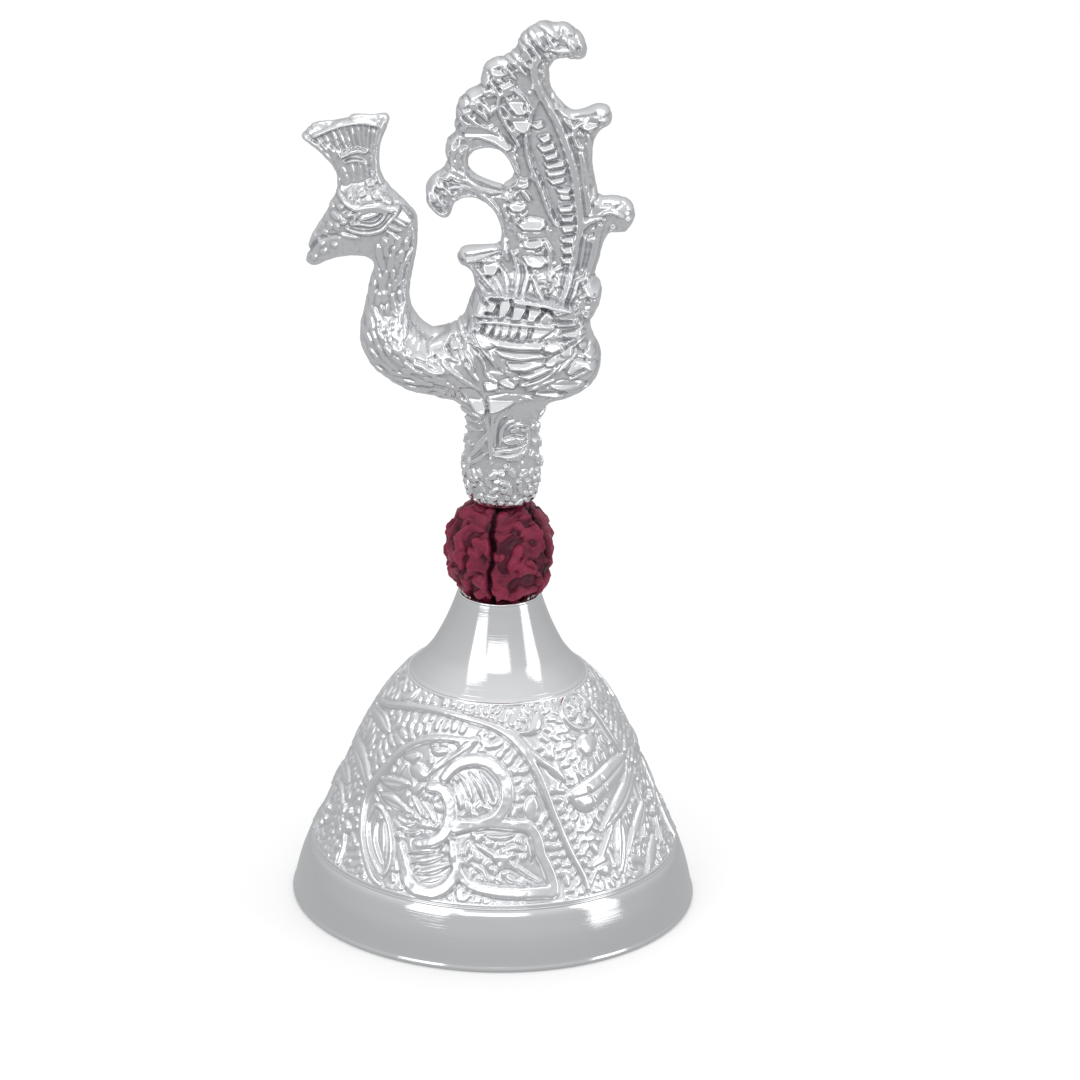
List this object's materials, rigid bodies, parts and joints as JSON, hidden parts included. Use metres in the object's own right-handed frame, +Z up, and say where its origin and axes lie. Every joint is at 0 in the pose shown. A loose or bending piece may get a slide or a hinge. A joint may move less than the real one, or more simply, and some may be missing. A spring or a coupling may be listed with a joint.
{
  "type": "pooja hand bell",
  "caption": "Silver-coloured cup bell with an embossed band, a rudraksha bead on its crown, a peacock handle and a ball clapper on a wire ring.",
  "frame": {"origin": "centre of the bell's mouth, in the plane of its rim", "axes": "+Z up along the bell's axis, +X toward the peacock's tail, the peacock faces -X and both its flanks face Y"},
  "size_m": [0.06, 0.06, 0.135],
  "materials": {
    "cast_silver": "silver plated, polished, with light tarnish in the relief",
    "bead": "stained deep red, oiled",
    "steel": "bright"
  },
  "bodies": {
    "bell": {"bell_cup": "cast_silver", "crown_washer": "steel", "crown_nut": "steel", "eye_rod": "steel", "rudraksha_bead": "bead", "peacock_handle": "cast_silver"},
    "ring": {"hanger_ring": "steel"},
    "clapper": {"clapper_rod": "steel", "clapper_ball": "steel"}
  },
  "joints": [
    {"name": "ring_swing", "type": "hinge", "parent": "bell", "child": "ring", "pos_m": [0, 0, 0.0302], "axis": [1, 0, 0], "range_deg": [-20, 20]},
    {"name": "clapper_swing", "type": "hinge", "parent": "ring", "child": "clapper", "pos_m": [0, 0, 0.0263], "axis": [0, 1, 0], "range_deg": [-58, 58]}
  ]
}
